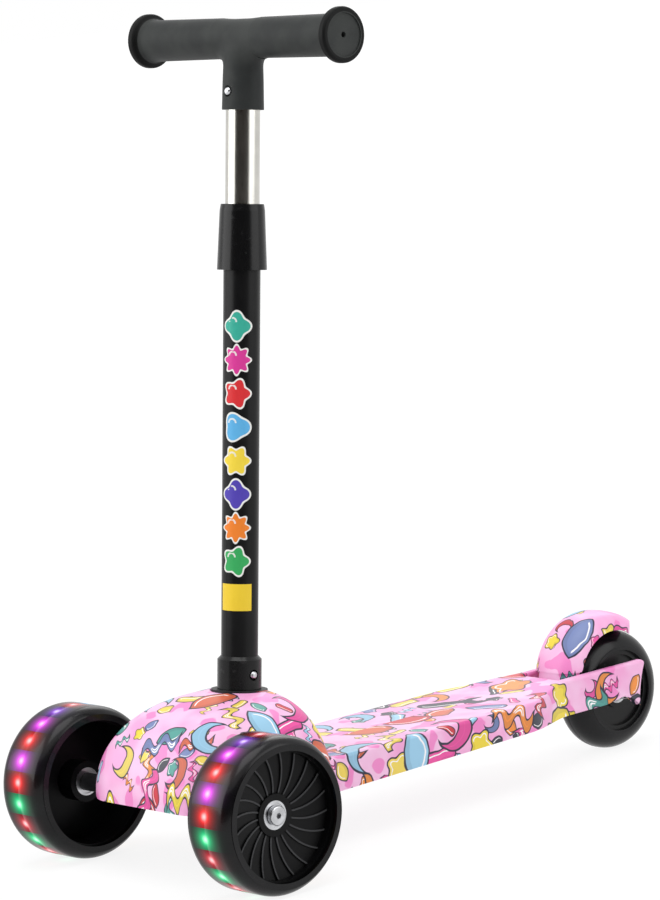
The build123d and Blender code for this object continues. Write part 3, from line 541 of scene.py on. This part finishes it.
def castTyre(name, wheelCentre=None):
    f = Finish(name)
    broad = f.noise(45, 3.0)
    fine = f.noise(500, 2.0)
    shade = f.mix(broad.ease(0.3, 0.7), tint(9, 9, 11), tint(19, 19, 21))
    scuff = f.noise(220, 4.0, 0.7).ease(0.66, 0.82)
    shade = f.mix(scuff * 0.06, shade, tint(110, 110, 110))
    common = {"Base_Color": shade, "Roughness": 0.2 + 0.1 * broad + 0.2 * scuff,
              "Specular_IOR_Level": 0.2, "Coat_Weight": 0.08, "Coat_Roughness": 0.06,
              "Normal": f.bump(fine, 0.05, 0.0003)}
    if wheelCentre is None:
        return f.close(**common)
    x, y, z = f.place()
    forward = x - wheelCentre[0]
    up = z - wheelCentre[2]
    across = y - wheelCentre[1]
    angle = f.node("ShaderNodeMath", {"operation": "ARCTAN2"}, {0: forward, 1: up}) * (180 / math.pi)
    step = 360 / lightPlan["count"]
    turns = (angle - lightPlan["firstAngle"]) / step
    number = (turns + 0.5).one("FLOOR")
    along = (turns - number) * (math.radians(step) * lightPlan["treadRadius"])
    spread = along * along + across * across
    core = (spread / (-2 * lightPlan["core"] ** 2)).one("EXPONENT")
    halo = (spread / (-2 * lightPlan["halo"] ** 2)).one("EXPONENT")
    index = f.node("ShaderNodeMath", {"operation": "FLOORED_MODULO"},
                   {0: number, 1: float(lightPlan["count"])})
    order = lightPlan["order"]
    colour = f.node("ShaderNodeValToRGB", {"stops": ("CONSTANT", [
        (spot / len(order), lightPlan[hue]) for spot, hue in enumerate(order)])},
        {0: (index + 0.5) / lightPlan["count"]})
    hot = f.mix(core ** 3 * lightPlan["whitening"], colour, (1.0, 1.0, 1.0, 1.0))
    level = core * lightPlan["coreLevel"] + halo * lightPlan["haloLevel"]
    glow = f.mix(level.least(1.0), (0.0, 0.0, 0.0, 1.0), hot)
    return f.close(Emission_Color=glow, Emission_Strength=lightPlan["power"], **common)


def lensPlastic():
    f = Finish("lensPlastic")
    cloud = f.noise(300, 2.0)
    return f.close(Base_Color=f.mix(cloud, tint(236, 120, 140), tint(250, 200, 210)),
                   Roughness=0.2 + 0.1 * cloud,
                   Emission_Color=f.mix(cloud, tint(160, 20, 40), tint(200, 60, 90)),
                   Emission_Strength=0.6)


def woundCopper():
    f = Finish("woundCopper")
    x, y, z = f.place()
    turns = (y * 12).one("SINE")
    # the colour follows the windings: painted shade in the grooves between them and a painted highlight on
    # their crests
    return f.close(Base_Color=f.mix(turns.ease(-1, 1), tint(150, 84, 48), tint(206, 128, 78)), Metallic=1.0,
                   Roughness=0.3 + 0.1 * turns.ease(-1, 1), Normal=f.bump(turns, 0.4, 0.0003))


rightAxle = [leftAxle[0], -leftAxle[1], leftAxle[2]]
finishes = {
    "printDeck": printedPlastic("printDeck", unrollDeck, underDeck),
    "printCover": printedPlastic("printCover", unrollCover),
    "printFender": printedPlastic("printFender", unrollFender),
    "glossBlack": mouldedPlastic("glossBlack", tint(13, 13, 14), rough=0.26, grain=350, gloss=0.06,
                                 shine=0.2),
    "hubBlack": mouldedPlastic("hubBlack", tint(12, 12, 13), rough=0.36, grain=350, gloss=0.05,
                               shine=0.22),
    "leftHub": ribbedHub("leftHub", leftAxle),
    "rightHub": ribbedHub("rightHub", rightAxle),
    "matteBlack": mouldedPlastic("matteBlack", tint(26, 26, 28), rough=0.52, grain=700, gloss=0.0),
    "gripRubber": gripRubber(),
    "chromePlate": chromePlate(),
    "powderCoat": powderCoat(),
    "zincSteel": brightSteel("zincSteel", tint(206, 207, 210), rough=0.3),
    "springSteel": brightSteel("springSteel", tint(150, 152, 156), rough=0.34),
    "leftTyre": castTyre("leftTyre", leftAxle),
    "rightTyre": castTyre("rightTyre", rightAxle),
    "rearTyre": castTyre("rearTyre"),
    "lensPlastic": lensPlastic(),
    "woundCopper": woundCopper(),
    "ferrite": brightSteel("ferrite", tint(96, 97, 100), rough=0.6),
    "blackRubber": mouldedPlastic("blackRubber", tint(28, 28, 28), rough=0.62, grain=900, gloss=0.0),
}
print("finishes")

wears = {
    "printDeck": ["deck"], "printCover": ["front_cover"], "printFender": ["fender"],
    "glossBlack": ["height_collar", "stem_socket"],
    "leftHub": ["left_hub"], "rightHub": ["right_hub"], "hubBlack": ["rear_hub"],
    "matteBlack": ["head_bracket", "truck_beam", "socket_ring", "collet", "tube_plug"],
    "gripRubber": ["handlebar_tee", "left_grip", "right_grip"],
    "chromePlate": ["upper_tube"], "powderCoat": ["lower_tube"],
    "zincSteel": ["handle_button", "stem_button", "left_axle_bolt", "right_axle_bolt", "left_bearings",
                  "right_bearings", "rear_bearings", "rear_axle_bolt", "rear_axle_nut", "king_pin",
                  "king_pin_nut", "deck_screws", "cover_screws", "fender_pin", "left_axle_spacer",
                  "right_axle_spacer", "rear_axle_spacers"],
    "springSteel": ["handle_button_spring", "stem_button_spring", "brake_spring"],
    "leftTyre": ["left_tyre"], "rightTyre": ["right_tyre"], "rearTyre": ["rear_tyre"],
    "lensPlastic": ["left_lights", "right_lights"],
    "woundCopper": ["left_light_coil", "right_light_coil"],
    "ferrite": ["left_light_magnet", "right_light_magnet"],
    "blackRubber": ["steer_bumpers", "brake_pad"],
}
for finish, worn in wears.items():
    for name in worn:
        slots = nodes[name].data.materials
        slots.clear()
        slots.append(finishes[finish])


# Pieces modelled here in place of a plain solid

def addPiece(name, mesh, finish, body, replaced):
    mesh.materials.clear()
    mesh.materials.append(finishes[finish])
    piece = bpy.data.objects.new(name, mesh)
    bpy.context.scene.collection.objects.link(piece)
    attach(piece, body)
    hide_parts(replaced)


def worked(name, mesh, *steps):
    # the mesh after modifiers, each given as (type, settings)
    holder = bpy.data.objects.new(name, mesh)
    bpy.context.scene.collection.objects.link(holder)
    for kind, settings in steps:
        modifier = holder.modifiers.new(kind, kind)
        for key, value in settings.items():
            setattr(modifier, key, value)
    made = bpy.data.meshes.new_from_object(holder.evaluated_get(bpy.context.evaluated_depsgraph_get()))
    bpy.data.objects.remove(holder)
    return made


def roundBar(start, end, radius, sides=48):
    # closed mesh of a bar between two points
    start, end = Vector(start), Vector(end)
    bm = bmesh.new()
    bmesh.ops.create_cone(bm, cap_ends=True, segments=sides, radius1=radius, radius2=radius,
                          depth=(end - start).length)
    turn = (end - start).to_track_quat("Z", "Y").to_matrix().to_4x4()
    turn.translation = (start + end) / 2
    bmesh.ops.transform(bm, matrix=turn, verts=bm.verts)
    return bm


def barMesh(name, *bars):
    bm = bmesh.new()
    for start, end, radius in bars:
        one = roundBar(start, end, radius)
        part = bpy.data.meshes.new("bar")
        one.to_mesh(part)
        one.free()
        bm.from_mesh(part)
        bpy.data.meshes.remove(part)
    mesh = bpy.data.meshes.new(name)
    bm.to_mesh(mesh)
    bm.free()
    return mesh


# T handle: bar and column moulded as one, with a sweep between them, drawn in at the middle of the bar

teePlan = {
    "barHalf": 23.0,
    "barRadius": (14.7, 15.7),      # at the middle, at the ends
    "columnRadius": (16.2, 15.2),   # at the foot, at the neck
    "columnLength": 54.7,
    "columnTop": -10.0,             # where the column's axis ends below the bar's
    "sweep": 13.0,
    "blend": (15, 40),              # where the bar's radius turns into the column's: above, over what height
    "rough": (15.0, 15.6),          # bar and column that the T is drawn onto, and how far they overshoot
    "over": 1.15,
    "draws": 12,                    # steps that draw it, the share of each, and the probe in mm
    "drawShare": 0.8,
    "probe": 0.05,
    "sharp": 38,                    # degrees
    "window": 4.3,
    "windowUp": 14.0,
    "windowDepth": 8.0,
    "bore": 13.3,
    "boreDepth": 36.0,
    "boreOver": 4.0,                # how far the cutters start outside
    "windowOver": 1.3,
    "voxel": 0.0008,
}


def teeDepth(spots):
    # how far points (forward, across, up, in mm from the bar's centre) lie outside the T
    plan = teePlan
    ahead, across, up = spots[:, 0], np.abs(spots[:, 1]), spots[:, 2]
    fromBar = np.abs(up)
    fromColumn = np.hypot(across, np.maximum(up - plan["columnTop"], 0))
    share = np.clip(0.5 + 0.5 * (fromColumn - fromBar) / plan["sweep"], 0, 1)
    flat = fromColumn + (fromBar - fromColumn) * share - plan["sweep"] * share * (1 - share)
    middle, end = plan["barRadius"]
    foot, neck = plan["columnRadius"]
    barRadius = middle + (end - middle) * np.clip(across / plan["barHalf"], 0, 1.2) ** 2
    columnRadius = neck + (foot - neck) * np.clip(-up / plan["columnLength"], 0, 1.1)
    above, height = plan["blend"]
    down = np.clip((-up - across + above) / height, 0, 1)
    down = down * down * (3 - 2 * down)
    return np.hypot(np.maximum(flat, 0), ahead) - (barRadius + (columnRadius - barRadius) * down)


def makeTee():
    plan = teePlan
    side = Vector((0, 1, 0))
    half = side * plan["barHalf"] * plan["over"] * mm
    foot = -stemUp * plan["columnLength"] * plan["over"] * mm
    barRough, columnRough = plan["rough"]
    rough = barMesh("tee", (barCentre - half, barCentre + half, barRough * mm),
                    (barCentre, barCentre + foot, columnRough * mm))
    mesh = worked("tee", rough, ("REMESH", {"mode": "VOXEL", "voxel_size": plan["voxel"]}))
    axes = np.array([stemFront, side, stemUp])
    centre = np.array(barCentre)
    spots = np.empty(len(mesh.vertices) * 3)
    mesh.vertices.foreach_get("co", spots)
    spots = (spots.reshape(-1, 3) - centre) @ axes.T / mm
    probe = plan["probe"]
    for _ in range(plan["draws"]):
        depth = teeDepth(spots)
        slope = np.stack([(teeDepth(spots + step) - teeDepth(spots - step)) / (2 * probe)
                          for step in np.eye(3) * probe], axis=1)
        size = np.maximum((slope ** 2).sum(axis=1), 0.2)
        spots -= slope * (depth / size)[:, None] * plan["drawShare"]
    mesh.vertices.foreach_set("co", ((spots * mm) @ axes + centre).ravel())
    bm = bmesh.new()
    bm.from_mesh(mesh)
    footSpot = barCentre - stemUp * plan["columnLength"] * mm
    barEnd = side * plan["barHalf"] * mm
    ends = [(barCentre + barEnd, side), (barCentre - barEnd, -side), (footSpot, -stemUp)]
    for spot, outward in ends:
        cut = bmesh.ops.bisect_plane(bm, geom=bm.verts[:] + bm.edges[:] + bm.faces[:], plane_co=spot,
                                     plane_no=outward, clear_outer=True)
        bmesh.ops.edgeloop_fill(bm, edges=[edge for edge in cut["geom_cut"]
                                           if isinstance(edge, bmesh.types.BMEdge)])
    bmesh.ops.recalc_face_normals(bm, faces=bm.faces)
    bm.to_mesh(mesh)
    bm.free()
    windowSpot = footSpot + stemUp * plan["windowUp"] * mm
    reach = plan["columnRadius"][0] * mm
    cutters = []
    for name, start, end, radius in (
            ("window", windowSpot + stemFront * (reach - plan["windowDepth"] * mm),
             windowSpot + stemFront * reach * plan["windowOver"], plan["window"]),
            ("bore", footSpot - stemUp * plan["boreOver"] * mm,
             footSpot + stemUp * plan["boreDepth"] * mm, plan["bore"])):
        cutter = bpy.data.objects.new(name, barMesh(name, (start, end, radius * mm)))
        bpy.context.scene.collection.objects.link(cutter)
        cutters.append(cutter)
    mesh = worked("tee", mesh, *[("BOOLEAN", {"operation": "DIFFERENCE", "solver": "EXACT", "object": cutter})
                                 for cutter in cutters])
    for cutter in cutters:
        bpy.data.objects.remove(cutter)
    mesh.shade_smooth()
    mesh.set_sharp_from_angle(angle=math.radians(plan["sharp"]))
    addPiece("tHandle", mesh, "gripRubber", "handlebar", "handlebar_tee")
    print("T handle", len(mesh.vertices), "points")


# Tyres: turned sections with a round shoulder, a faint seam round the tread and a rolled bead

tyrePlan = {
    "front": {"radius": 60.0, "half": 25.0, "shoulder": 10.5, "bead": 52.0, "roll": 2.2},
    "rear": {"radius": 50.0, "half": 17.0, "shoulder": 16.0, "bead": 34.0, "roll": 2.2},
    "seam": 0.12,             # a third of the seam's depth, in mm
    "seamHalf": (0.35, 0.7),
    "shoulderSteps": 14,
    "beadSteps": 6,
    "sides": 160,
    "sharp": 50,              # degrees
}


def bend(centre, radius, start, end, steps):
    # points of an arc, angles in degrees
    return [(centre[0] + radius * math.cos(math.radians(start + (end - start) * step / steps)),
             centre[1] + radius * math.sin(math.radians(start + (end - start) * step / steps)))
            for step in range(steps + 1)]


def tyreSection(size):
    # half of a closed section as (across, out), from the middle of the tread to the bead
    half, radius, bead = size["half"], size["radius"], size["bead"]
    shoulder, roll = size["shoulder"], size["roll"]
    seam = tyrePlan["seam"]
    groove, lip = tyrePlan["seamHalf"]
    tread = [(0.0, radius - 3 * seam), (groove, radius - 3 * seam), (lip, radius - seam)]
    flat = half - shoulder
    if flat > 2:
        tread += [(flat * share, radius - seam * share ** 2) for share in (0.35, 0.7)]
    tread += bend((flat, radius - shoulder - seam), shoulder, 90, 0, tyrePlan["shoulderSteps"])
    wall = [(half, (radius - shoulder + bead + roll) / 2)]
    beadRoll = bend((half - roll, bead + roll), roll, 0, -90, tyrePlan["beadSteps"])
    return tread + wall + beadRoll


def turnedMesh(name, section, centre, sides):
    # turns a closed section about a line along Y
    points, faces = [], []
    count = len(section)
    for side in range(sides):
        angle = math.tau * side / sides
        for across, out in section:
            points.append((centre[0] + out * mm * math.sin(angle), centre[1] + across * mm,
                           centre[2] + out * mm * math.cos(angle)))
    for side in range(sides):
        following = (side + 1) % sides
        for spot in range(count):
            after = (spot + 1) % count
            faces.append((side * count + spot, side * count + after, following * count + after,
                          following * count + spot))
    mesh = bpy.data.meshes.new(name)
    mesh.from_pydata(points, [], faces)
    bm = bmesh.new()
    bm.from_mesh(mesh)
    bmesh.ops.recalc_face_normals(bm, faces=bm.faces)
    bm.to_mesh(mesh)
    bm.free()
    mesh.shade_smooth()
    mesh.set_sharp_from_angle(angle=math.radians(tyrePlan["sharp"]))
    return mesh


def makeTyre(name, size, body, finish, replaced):
    half = tyreSection(tyrePlan[size])
    section = half + [(-across, out) for across, out in reversed(half[1:])]
    joint = joints[body + "_spin"]
    mesh = turnedMesh(name, section, joint["pos_m"], tyrePlan["sides"])
    addPiece(name, mesh, finish, body, replaced)


makeTee()
makeTyre("leftFrontTyre", "front", "left_wheel", "leftTyre", "left_tyre")
makeTyre("rightFrontTyre", "front", "right_wheel", "rightTyre", "right_tyre")
makeTyre("rearTyreRing", "rear", "rear_wheel", "rearTyre", "rear_tyre")
print("tyres")

# Stage: pale floor, soft boxes around, and the camera where the picture was taken from

cameraPlan = {
    "target": (0.0435, 0.0, 0.2977),
    "azimuth": 48.37,         # degrees from +X towards +Y
    "elevation": 8.133,
    "distance": 3.1885,
    "roll": -4.575,
    "focalPixels": 4061.33,
    "imageHeight": 900,
    "sensor": 36.0,
}


def aroundObject(azimuth, elevation, distance, target):
    a, e = math.radians(azimuth), math.radians(elevation)
    return Vector(target) + distance * Vector((math.cos(a) * math.cos(e), math.sin(a) * math.cos(e),
                                               math.sin(e)))


def makeCamera():
    plan = cameraPlan
    data = bpy.data.cameras.new("camera")
    data.sensor_width = plan["sensor"]
    data.lens = plan["focalPixels"] * plan["sensor"] / plan["imageHeight"]
    camera = bpy.data.objects.new("camera", data)
    bpy.context.scene.collection.objects.link(camera)
    camera.location = aroundObject(plan["azimuth"], plan["elevation"], plan["distance"], plan["target"])
    look = Vector(plan["target"]) - camera.location
    aim = look.to_track_quat("-Z", "Y").to_matrix().to_4x4()
    roll = aim.Rotation(math.radians(plan["roll"]), 4, "Z")
    camera.rotation_euler = (aim @ roll).to_euler()
    bpy.context.scene.camera = camera


lightCentre = (0.0, 0.0, 0.3)
lightStand = {  # azimuth from the camera, elevation, distance, size, power
    "leftBox": (-80, 24, 2.4, (2.2, 1.8), 30),
    "rightBox": (66, 20, 2.5, (1.9, 1.8), 18),
    "topBox": (10, 76, 2.4, (2.0, 2.0), 34),
    "backBox": (165, 35, 2.8, (1.6, 1.6), 18),
}


def makeLights():
    for name, (turn, up, distance, size, power) in lightStand.items():
        data = bpy.data.lights.new(name, "AREA")
        data.shape = "RECTANGLE"
        data.size, data.size_y = size
        data.energy = power
        lamp = bpy.data.objects.new(name, data)
        bpy.context.scene.collection.objects.link(lamp)
        lamp.location = aroundObject(cameraPlan["azimuth"] + turn, up, distance, lightCentre)
        lamp.rotation_euler = (Vector(lightCentre) - lamp.location).to_track_quat("-Z", "Y").to_euler()


def seenRay(tree):
    # 1 for camera, mirror and glass rays
    path = tree.nodes.new("ShaderNodeLightPath")
    total = path.outputs["Is Camera Ray"]
    for name in ("Is Glossy Ray", "Is Transmission Ray"):
        joined = tree.nodes.new("ShaderNodeMath")
        joined.operation = "MAXIMUM"
        tree.links.new(total, joined.inputs[0])
        tree.links.new(path.outputs[name], joined.inputs[1])
        total = joined.outputs[0]
    return total


ambientLevel = 0.55


def makeWorld():
    world = bpy.data.worlds.new("studio")
    bpy.context.scene.world = world
    world.use_nodes = True
    tree = world.node_tree
    tree.nodes.clear()
    ambient = tree.nodes.new("ShaderNodeBackground")
    ambient.inputs["Strength"].default_value = ambientLevel
    white = tree.nodes.new("ShaderNodeBackground")
    white.inputs["Color"].default_value = (1, 1, 1, 1)
    both = tree.nodes.new("ShaderNodeMixShader")
    out = tree.nodes.new("ShaderNodeOutputWorld")
    tree.links.new(seenRay(tree), both.inputs[0])
    tree.links.new(ambient.outputs[0], both.inputs[1])
    tree.links.new(white.outputs[0], both.inputs[2])
    tree.links.new(both.outputs[0], out.inputs[0])


cardPlan = {
    "from": -54,              # degrees from the camera
    "to": 40,
    "step": 2,
    "distance": 3.9,
    "height": 2.6,
    "colour": tint(50, 43, 38),
}


def makeCard():
    # dark curtain behind the camera, seen only in the reflections
    plan = cardPlan
    f = Finish("darkCurtain")
    fold = f.noise(6, 2.0)
    cloth = f.node("ShaderNodeBsdfDiffuse", inputs={
        "Color": f.mix(fold, plan["colour"], scaled(plan["colour"], 0.6))})
    f.node("ShaderNodeOutputMaterial", inputs={"Surface": cloth})
    points = []
    for turn in range(plan["from"], plan["to"] + 1, plan["step"]):
        spot = aroundObject(cameraPlan["azimuth"] + turn, 0, plan["distance"], (0, 0, 0))
        points += [(spot.x, spot.y, 0.0), (spot.x, spot.y, plan["height"])]
    faces = [(at, at + 2, at + 3, at + 1) for at in range(0, len(points) - 2, 2)]
    mesh = bpy.data.meshes.new("curtain")
    mesh.from_pydata(points, [], faces)
    mesh.materials.append(f.material)
    card = bpy.data.objects.new("curtain", mesh)
    bpy.context.scene.collection.objects.link(card)
    card.visible_camera = False
    card.visible_diffuse = False
    card.visible_shadow = False


floorPlan = {
    "half": 14.0,             # metres
    "colour": (0.82, 0.82, 0.82, 1),
    "white": 1.08,
    "near": 0.8,              # share of white near the object, and what distance adds
    "far": 0.2,
    "fade": (600, 2200),      # mm from the object
}


def makeFloor():
    plan = floorPlan
    f = Finish("paleFloor")
    diffuse = f.node("ShaderNodeBsdfDiffuse", inputs={"Color": plan["colour"]})
    white = f.node("ShaderNodeEmission", inputs={"Color": (1, 1, 1, 1), "Strength": plan["white"]})
    x, y, z = f.place()
    paler = plan["near"] + plan["far"] * hypot(x, y).ease(*plan["fade"])
    share = Flow(f, seenRay(f.tree)) * paler
    both = f.node("ShaderNodeMixShader", inputs={0: share, 1: diffuse, 2: white})
    beneath = f.node("ShaderNodeNewGeometry", out="Backfacing")
    clear = f.node("ShaderNodeBsdfTransparent")
    both = f.node("ShaderNodeMixShader", inputs={0: beneath, 1: both, 2: clear})    # clear from below
    f.node("ShaderNodeOutputMaterial", inputs={"Surface": both})
    mesh = bpy.data.meshes.new("floor")
    half = plan["half"]
    mesh.from_pydata([(-half, -half, 0), (half, -half, 0), (half, half, 0), (-half, half, 0)], [],
                     [(0, 1, 2, 3)])
    mesh.materials.append(f.material)
    floor = bpy.data.objects.new("floor", mesh)
    bpy.context.scene.collection.objects.link(floor)


makeCamera()
makeLights()
makeWorld()
makeCard()
makeFloor()
bpy.context.scene.view_settings.view_transform = "Standard"
print("stage set")
